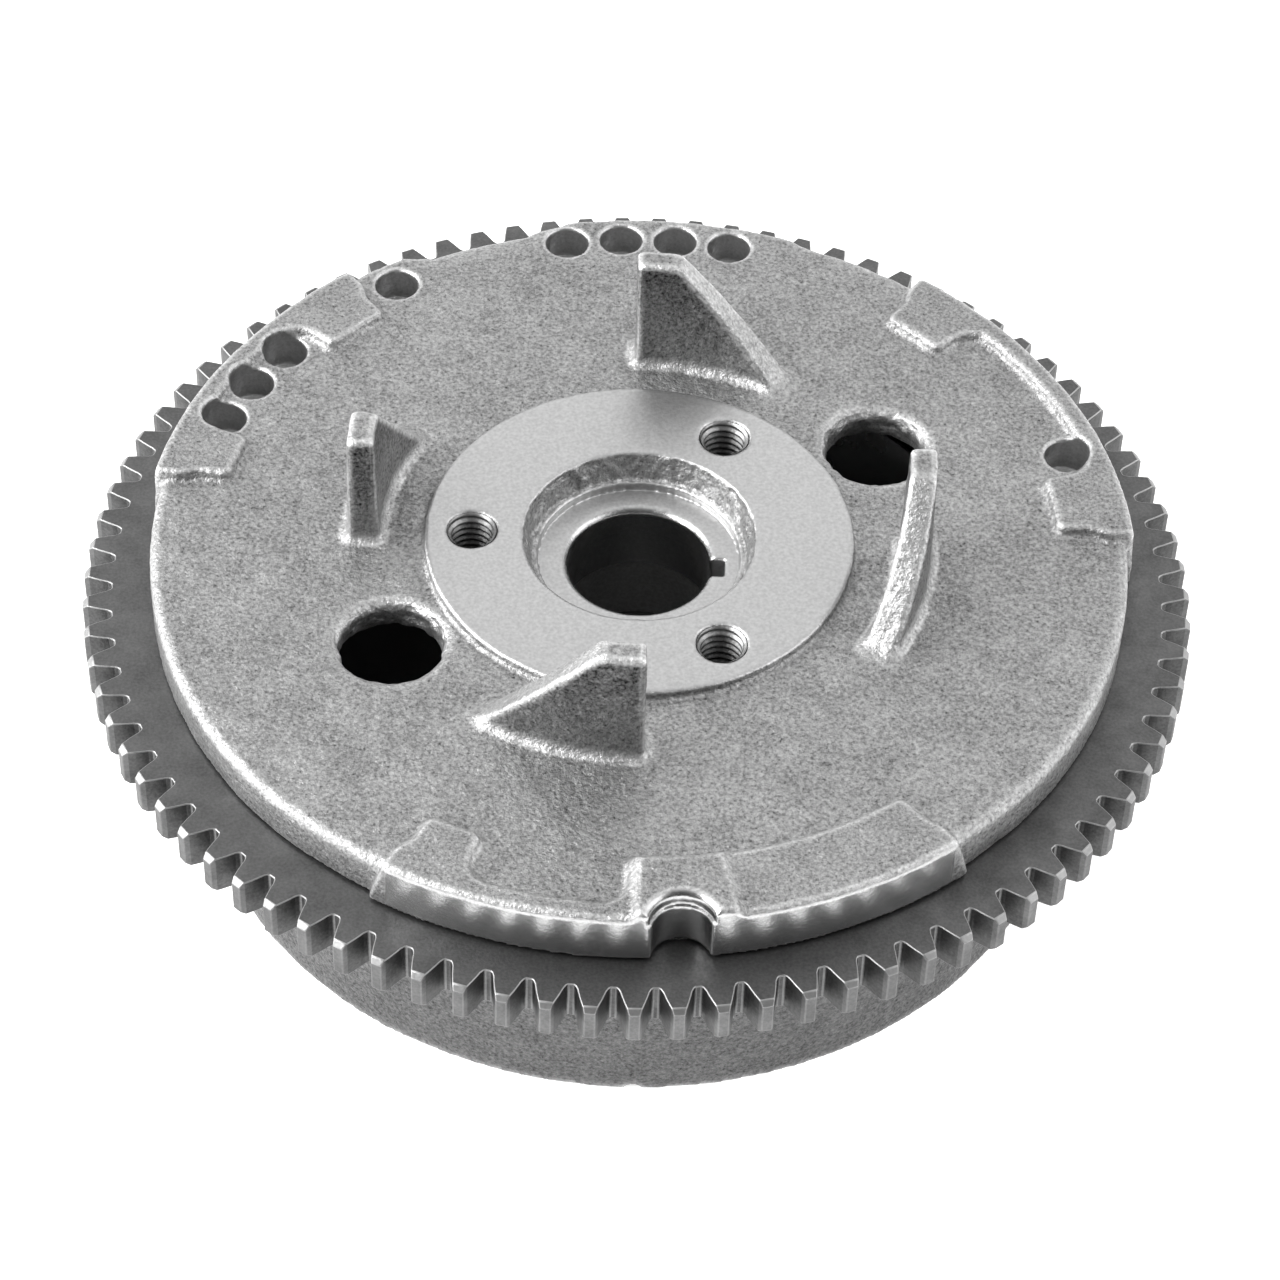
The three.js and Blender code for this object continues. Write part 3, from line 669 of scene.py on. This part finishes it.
# ------------------------------------------------------------------ pieces
def machined_share(p, normal):
    """1 on the casting's machined faces and 0 on its cast skin; then 1 on the smoothest of them."""
    r = np.hypot(p[:, 0], p[:, 1])
    z = p[:, 2]
    up = normal[:, 2]
    in_rim = z > RIM_UNDER - 1.2
    hub = np.clip((up - 0.75) / 0.15, 0, 1) * (r < HUB_R + 0.2) * (z > HUB_TOP - 0.6)
    seat = (r < WASHER_R + 0.3) & (z < WASHER_TOP + 0.3)
    on_wall = on_bands(p) & (r > MACHINED_R - 1.5) & (r < MACHINED_R + 0.2) & (z > RIM_UNDER + 0.2)
    wall = np.clip((0.45 - up) / 0.3, 0, 1) * on_wall
    from_notch = distance(p, NOTCH_CENTRE_R, NOTCH_ANGLE)
    notch = np.clip((NOTCH_R + 1.9 - from_notch) / 0.5, 0, 1) * in_rim
    sides = notch * np.clip((TIMING_TOP - 0.2 - z) / 0.4, 0, 1)
    drilled = sum(distance(p, BALANCE_CIRCLE, a) < BALANCE_R + 0.25 for a in balance_angles())
    drilled = drilled * in_rim * (z < WEB_TOP + 1)
    turned = np.maximum.reduce([wall, sides, 1.0 * ((r < BORE_R + BORE_CHAMFER) & seat)])
    foot = (z < SKIRT_BOTTOM + 0.4) | ((r < BOSS_R) & (z < BOSS_BOTTOM + 0.4))
    return np.maximum.reduce([turned, notch, hub, 1.0 * (seat | foot), 0.8 * drilled]), turned


def on_bands(p):
    """Whether points are at an angle where the rim has a raised band."""
    angle = np.degrees(np.arctan2(p[:, 1], p[:, 0])) % 360
    return np.logical_or.reduce([(angle > a0) & (angle < a1) for a0, a1 in BANDS])


def distance(p, radius, degrees):
    """Distance from an upright axis."""
    x, y = at(radius, degrees)
    return np.hypot(p[:, 0] - x, p[:, 1] - y)


def set_attribute(piece, name, values):
    """Stores one value per vertex for the materials."""
    layer = piece.data.attributes.new(name, "FLOAT", "POINT")
    layer.data.foreach_set("value", np.asarray(values, np.float32))


def relief(vertices, quads, normals, reach):
    """About 1 on outside edges, -1 in inside corners and 0 on flat faces."""
    total = np.zeros_like(vertices)
    neighbours = np.zeros(len(vertices))
    for i in range(4):
        a, b = quads[:, i], quads[:, (i + 1) % 4]
        np.add.at(total, a, vertices[b])
        np.add.at(neighbours, a, 1)
    mean = total / np.maximum(neighbours, 1)[:, None]
    stand = ((vertices - mean) * normals).sum(1)
    return np.clip(stand / reach, -1, 1)


def wear_and_painted_light(p, normals, stand, machined):
    """Near 1 where the skin is brightest: painted highlight on outside edges (partly real wear), slopes and
    fin feet;
    below 0 as painted shade on the fins' upright sides."""
    r = np.hypot(p[:, 0], p[:, 1])
    angle = np.degrees(np.arctan2(p[:, 1], p[:, 0])) % 360
    up = normals[:, 2]
    at_fin = (np.abs(r - FIN_R) < FIN_HALF + 2) & (p[:, 2] > WEB_TOP - 0.2)
    at_hole = np.minimum.reduce([distance(p, AIR_CIRCLE, a) for a in AIR_ANGLES]) < AIR_R + 3
    at_front_pads = (r > PAD_INNER_R - 3) & (angle > FRONT_PADS[0]) & (angle < FRONT_PADS[1])
    at_rim = r > RIM_R - 2.4
    # painted highlight: slopes are brightened, most at the air holes, the front pads, the fins and the rim
    bright = np.select([at_fin, at_rim, at_hole | at_front_pads], [0.35, 0.25, 0.5], 0.08)
    slope = np.clip((0.96 - up) / 0.15, 0, 1) * np.clip((up - 0.1) / 0.2, 0, 1) * (p[:, 2] > WEB_TOP - 4)
    # painted highlight in the inside corners at the fins' feet
    foot = np.clip(-2 * stand, 0, 1) * at_fin * (0.6 + 0.6 * value_noise(p, 1.5, 11))
    # painted highlight on outside edges, partly standing for real edge wear
    proud = np.clip(stand, 0, 1) * np.select([at_fin, at_front_pads], [1.2, 0.9], 0.7)
    height = (p[:, 2] - WEB_TOP) / (FIN_TOP - WEB_TOP)
    # painted shade: the fins' upright sides are darkened, more towards their tops
    upright = 0.55 * height * at_fin * np.clip(1 - np.abs(up) / 0.3, 0, 1)
    return (np.maximum.reduce([proud, foot, bright * slope]) - upright) * (1 - 0.85 * machined)


def sand_marks(p, machined):
    """How far the sand left the skin proud, in millimetres: most in the recess and the air holes."""
    r = np.hypot(p[:, 0], p[:, 1])
    skin = 0.1 * value_noise(p, 2.6, 3) + 0.06 * value_noise(p, 1.3, 5) + 0.1 * value_noise(p, 9, 7) - 0.05
    ragged = 0.35 * value_noise(p, 1.9, 13) + 0.2 * value_noise(p, 1.1, 17) - 0.1
    wall = (r > WASHER_R + 0.5) & (r < RECESS_R + 0.4) & (p[:, 2] < HUB_TOP - 0.5)
    for a in AIR_ANGLES:
        wall |= (distance(p, AIR_CIRCLE, a) < AIR_R + 1.2) & (p[:, 2] < WEB_TOP - 0.8)
    return (skin + ragged * wall) * (1 - machined)


def cast_piece(name, step, low, high, wanted):
    """One part of the casting's skin, roughened where it isn't machined."""
    vertices, quads = surface(step, low, high)
    normals = vertex_normals(vertices, quads)
    machined, turned = machined_share(vertices, normals)
    stand = relief(vertices, quads, normals, 0.16 * step)
    edge = wear_and_painted_light(vertices, normals, stand, machined)
    centre = vertices[quads].mean(1)
    quads = quads[wanted(np.hypot(centre[:, 0], centre[:, 1]), centre[:, 2])]
    vertices = vertices + normals * sand_marks(vertices, machined)[:, None]
    vertices[:, 2] = np.clip(vertices[:, 2], SKIRT_BOTTOM, FIN_TOP)
    used = np.unique(quads)
    renumber = np.zeros(len(vertices), np.int32)
    renumber[used] = np.arange(len(used))
    piece = add_mesh(name, vertices[used], renumber[quads], "cast_iron")
    set_attribute(piece, "machined", machined[used])
    set_attribute(piece, "turned", turned[used])
    set_attribute(piece, "edge", edge[used])
    return piece


def split_height(r):
    """Height where the fine upper skin hands over to the coarser lower one: under the rim, inside the web
    and, at the middle, down in the bore."""
    return np.where(r > 80, RIM_UNDER - 0.6, np.where(r < 24, BOSS_BOTTOM + 25, WEB_UNDER + 3))


def above_split(r, z):
    """Whether a face belongs to the upper skin."""
    return z > split_height(r) - LAP


def below_split(r, z):
    """Whether a face belongs to the lower skin."""
    return z < split_height(r) + LAP


def casting():
    """The wheel casting, as a fine skin above and a coarser one below."""
    upper = cast_piece("casting_upper", FINE_STEP, BOSS_BOTTOM + 24, FIN_TOP + 1, above_split)
    cast_piece("casting_lower", COARSE_STEP, SKIRT_BOTTOM - 2, WEB_UNDER + 6, below_split)
    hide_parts("casting")


def thread(number, degrees):
    """Tapped thread of a puller hole: a V groove winding down the hole, with a lead-in at its top."""
    steps, per_turn = 40, 8
    top, bottom = HUB_TOP - 0.35, HUB_UNDER + 0.2
    rows = int((top - bottom) / THREAD_PITCH * per_turn)
    t = np.linspace(0, 2 * math.pi, steps, endpoint=False)
    z = np.linspace(top, bottom, rows)
    turn, height = np.meshgrid(t, z, indexing="ij")
    phase = (height / THREAD_PITCH - turn / (2 * math.pi)) % 1
    groove = np.clip(np.abs(phase - 0.5) * 2.6 - 0.15, 0, 1)
    r = THREAD_MINOR_R + (THREAD_MAJOR_R - THREAD_MINOR_R) * groove
    lead = np.clip((height - (top - 0.9)) / 0.9, 0, 1)
    r = r + (THREAD_MAJOR_R + 0.15 - r) * lead
    x, y = at(PULLER_CIRCLE, degrees)
    points = np.stack([x + r * np.cos(turn), y + r * np.sin(turn), height], axis=2).reshape(-1, 3)
    i0, j0 = np.meshgrid(np.arange(steps), np.arange(rows - 1), indexing="ij")
    i1 = (i0 + 1) % steps
    quads = np.stack([i0 * rows + j0, i0 * rows + j0 + 1, i1 * rows + j0 + 1, i1 * rows + j0], axis=2)
    piece = add_mesh(f"puller_thread_{number}", points, quads.reshape(-1, 4), "cast_iron")
    set_attribute(piece, "machined", np.full(len(points), 0.8))
    # painted shade: the thread is darkened further down the hole from its top
    set_attribute(piece, "edge", np.clip((points[:, 2] - top) / 4, -0.65, 0))


def half_tooth(r):
    """Half of the angle that a tooth takes up at radius r, in radians."""
    alpha = math.radians(PRESSURE_ANGLE)
    here = math.acos(min(1, PITCH_R * math.cos(alpha) / r))
    return math.pi / (2 * TEETH) + (math.tan(alpha) - alpha) - (math.tan(here) - here)


def tooth_outline():
    """One tooth from root to root, as (radius, angle) corners."""
    half_pitch = math.pi / TEETH
    flank = [(r, half_tooth(r)) for r in (ROOT_R + 0.9, ROOT_R + 2, PITCH_R, CHAMFER_R, TIP_R)]
    root = [(ROOT_R, half_pitch), (ROOT_R, half_pitch - 0.005), (ROOT_R + 0.25, flank[0][1] + 0.0035)]
    side = root + flank
    return [(r, -a) for r, a in side] + [(r, a) for r, a in side[:0:-1]]


def uprights(mesh, columns):
    """A vertex at the top and one at the bottom of each (radius, angle) column, bevelled at the tips."""
    top, bottom = [], []
    for r, angle in columns:
        x, y = r * math.cos(angle), r * math.sin(angle)
        down = max(0, r - CHAMFER_R)
        top.append(mesh.verts.new((x, y, GEAR_TOP - down)))
        bottom.append(mesh.verts.new((x, y, GEAR_BOTTOM + down)))
    return top, bottom


def ring_wall(mesh, upper, lower):
    """An upright wall between two closed rings of vertices."""
    for k in range(len(upper)):
        n = (k + 1) % len(upper)
        mesh.faces.new([upper[k], lower[k], lower[n], upper[n]])


def flat_faces(outline, after, rings):
    """The faces of one flat side round a tooth; `rings` has three vertices of each ring inside it."""
    count = len(outline)
    for k in range(3, count // 2):
        yield [outline[k], outline[k + 1], outline[count - k - 1], outline[count - k]]
    left, middle, right = rings[0]
    yield [left, middle, *outline[3::-1]]
    yield [middle, right, after, *outline[: count - 4 : -1]]
    yield [middle, outline[3], outline[count - 3]]
    for outer, inner in zip(rings, rings[1:]):
        for s in (0, 1):
            yield [inner[s], inner[s + 1], outer[s + 1], outer[s]]


def gear_mesh():
    """The ring gear with sharp edges: toothed wall, flat sides and bore."""
    mesh = bmesh.new()
    pitch = 2 * math.pi / TEETH
    outline = tooth_outline()
    count = len(outline)
    teeth = uprights(mesh, [(r, tooth * pitch + a) for tooth in range(TEETH) for r, a in outline])
    angles = [tooth * pitch + a for tooth in range(TEETH) for a in (-pitch / 2, 0)]
    rings = [uprights(mesh, [(r, a) for a in angles]) for r in GEAR_RING_RADII]
    ring_wall(mesh, *teeth)
    for tooth in range(TEETH):
        for side, order in ((0, -1), (1, 1)):
            start = tooth * count
            own = teeth[side][start : start + count]
            after = teeth[side][(start + count) % len(teeth[side])]
            near = [[ring[side][(2 * tooth + s) % len(angles)] for s in (0, 1, 2)] for ring in rings]
            for face in flat_faces(own, after, near):
                mesh.faces.new(face[::order])
    ring_wall(mesh, *rings[-1][::-1])
    bmesh.ops.recalc_face_normals(mesh, faces=mesh.faces)
    return mesh


def ring_gear():
    """Involute teeth with a bevel round their tips, on a flat ring."""
    mesh = gear_mesh()
    break_edges(mesh)
    for v in mesh.verts:
        v.co *= MM
    data = bpy.data.meshes.new("ring_gear_teeth")
    mesh.to_mesh(data)
    mesh.free()
    piece = add_piece("ring_gear_teeth", data, "gear_steel")
    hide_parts("ring_gear")


def break_edges(mesh):
    """Small rounds on the sharp edges, given a painted highlight like the tip chamfers; upright faces get
    painted shade.
    """
    mark = mesh.faces.layers.float.new("edge")
    sharp = [e for e in mesh.edges if e.calc_face_angle(0) > math.radians(28)]
    made = bmesh.ops.bevel(mesh, geom=sharp, offset=BROKEN_EDGE, segments=2, profile=0.5, affect="EDGES")
    for face in mesh.faces:
        centre = face.calc_center_median()
        at_tip = math.hypot(centre.x, centre.y) > CHAMFER_R
        # painted shade on upright faces below the tips, painted highlight on the tip chamfers
        if abs(face.normal.z) < 0.3:
            face[mark] = 0 if at_tip else -0.12
        else:
            face[mark] = 0.5 * (at_tip and face.normal.z < 0.95)
    # painted highlight on the upward-facing rounds
    for face in made["faces"]:
        face[mark] = 0.6 if face.normal.z > 0.3 else 0.1
        face.smooth = True


def dress(node, slot):
    """A CAD node that is shown as it is, with its finish and softened edges."""
    piece = frame["nodes"][node]
    piece.data.materials.clear()
    piece.data.materials.append(MATERIALS[slot])
    bevel = piece.modifiers.new("edges", "BEVEL")
    bevel.width = 0.25 * MM
    bevel.segments = 2
    bevel.limit_method = "ANGLE"
    bevel.angle_limit = math.radians(40)


def cover_ring():
    """Thin cover inside the magnets; its lower flange is rolled out under them."""
    low, high = (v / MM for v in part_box("magnet_cover"))
    flange = high.x
    wall = COVER_WALL_R
    outline = [
        (wall + 0.9, low.z),
        (flange - 0.3, low.z),
        (flange, low.z + 0.4),
        (flange - 0.3, low.z + 0.8),
        (wall + 2.0, low.z + 0.8),
        (wall + 1.0, low.z + 1.6),
        (wall + 0.8, low.z + 2.6),
        (wall + 0.8, high.z - 0.3),
        (wall + 0.5, high.z),
        (wall + 0.2, high.z),
        (wall, high.z - 0.3),
        (wall, low.z + 2.2),
        (wall + 0.3, low.z + 0.8),
    ]
    points, quads = lathe(outline, 240)
    piece = add_mesh("cover_ring", points, quads, "stainless")
    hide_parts("magnet_cover")


casting()
for number, angle in enumerate(PULLER_ANGLES, 1):
    thread(number, angle)
ring_gear()
cover_ring()
dress("magnet_spacer", "black_nylon")
for number in range(1, MAGNETS + 1):
    dress(f"magnet_{number:02d}", "ferrite")


# ------------------------------------------------------------------ studio
CAMERA_RISE = math.radians(45.74)
CAMERA_DISTANCE = 785.7
CAMERA_ROLL = math.radians(1.91)
CAMERA_TILT = math.radians(0.94)
CAMERA_PAN = math.radians(0.06)
LENS = 110.4
SENSOR = 36
LAMP_TARGET = Vector((0, 0, 0.05))
SKY_SPAN = (-0.9, 0.5)  # Y of the directions over which the sky turns from dark to light
SKY_FRONT = 0.06
SKY_REAR = 0.92
PAPER_GLOW = 0.8
PAPER_SPAN = (0.078, 0.09)  # radii in metres over which the paper turns from painted shade under the wheel to bright


def camera():
    """Looks at the gear's top face from the front and above, with a small roll and tilt."""
    data = bpy.data.cameras.new("camera")
    data.lens, data.sensor_width = LENS, SENSOR
    data.clip_start, data.clip_end = 0.01, 20
    eye = bpy.data.objects.new("camera", data)
    bpy.context.scene.collection.objects.link(eye)
    forward = Vector((0, math.cos(CAMERA_RISE), -math.sin(CAMERA_RISE)))
    right = Vector((1, 0, 0))
    look = Matrix((right, right.cross(forward), -forward))
    turn_z = Matrix.Rotation(-CAMERA_ROLL, 3, "Z")
    turn_x = Matrix.Rotation(CAMERA_TILT, 3, "X")
    turn_y = Matrix.Rotation(CAMERA_PAN, 3, "Y")
    to_camera = turn_z @ turn_x @ turn_y @ look
    place = -CAMERA_DISTANCE * forward * MM + Vector((0, 0, GEAR_TOP * MM))
    eye.matrix_world = Matrix.Translation(place) @ to_camera.transposed().to_4x4()
    bpy.context.scene.camera = eye


def softbox(name, place, size, power):
    """A rectangular lamp facing the wheel."""
    data = bpy.data.lights.new(name, "AREA")
    data.shape = "RECTANGLE"
    data.size, data.size_y = size
    data.energy = power
    lamp = bpy.data.objects.new(name, data)
    bpy.context.scene.collection.objects.link(lamp)
    lamp.location = place
    lamp.rotation_euler = (LAMP_TARGET - Vector(place)).to_track_quat("-Z", "Y").to_euler()


def paper():
    """White ground that glows round the wheel and is painted dark under it, painted shade so that the holes
    stay dark.
    """
    material = bpy.data.materials.new("paper")
    material.use_nodes = True
    tree = material.node_tree
    shader = next(n for n in tree.nodes if n.type == "BSDF_PRINCIPLED")
    shader.inputs["Roughness"].default_value = 0.9
    shader.inputs["Emission Color"].default_value = (1, 1, 1, 1)
    length = tree.nodes.new("ShaderNodeVectorMath")
    length.operation = "LENGTH"
    tree.links.new(tree.nodes.new("ShaderNodeTexCoord").outputs["Object"], length.inputs[0])
    # painted shade under the wheel: no glow and a dark base colour inside PAPER_SPAN
    for socket, values in (("Emission Strength", (0.0, PAPER_GLOW)), ("Base Color", (0.2, 0.9))):
        fade = map_range(tree, length.outputs["Value"], PAPER_SPAN, values, "SMOOTHSTEP")
        tree.links.new(fade, shader.inputs[socket])
    return material


def floor():
    """Pale ground under the wheel, with painted shade beneath the wheel itself."""
    mesh = bmesh.new()
    bmesh.ops.create_grid(mesh, x_segments=1, y_segments=1, size=6)
    data = bpy.data.meshes.new("floor")
    mesh.to_mesh(data)
    mesh.free()
    data.materials.append(paper())
    piece = bpy.data.objects.new("floor", data)
    bpy.context.scene.collection.objects.link(piece)
    piece.location.z = -0.0005


def world():
    """Surroundings that go from dark in front of the wheel to light behind it."""
    sky = bpy.data.worlds.new("studio")
    sky.use_nodes = True
    tree = sky.node_tree
    background = next(n for n in tree.nodes if n.type == "BACKGROUND")
    direction = tree.nodes.new("ShaderNodeTexCoord").outputs["Generated"]
    split = tree.nodes.new("ShaderNodeSeparateXYZ")
    tree.links.new(direction, split.inputs["Vector"])
    fade = map_range(tree, split.outputs["Y"], SKY_SPAN, (SKY_FRONT, SKY_REAR), "SMOOTHSTEP")
    tree.links.new(fade, background.inputs["Strength"])
    background.inputs["Color"].default_value = (1, 1, 1, 1)
    bpy.context.scene.world = sky


camera()
floor()
world()
softbox("left", (-1.3, -0.2, 0.9), (1.4, 1.2), 38)
softbox("right", (1.3, -0.1, 0.9), (1.4, 1.2), 9)
softbox("rear", (0.0, 1.6, 1.3), (1.6, 1.0), 2)
scene = bpy.context.scene
scene.view_settings.view_transform = "Standard"
scene.view_settings.look = "None"
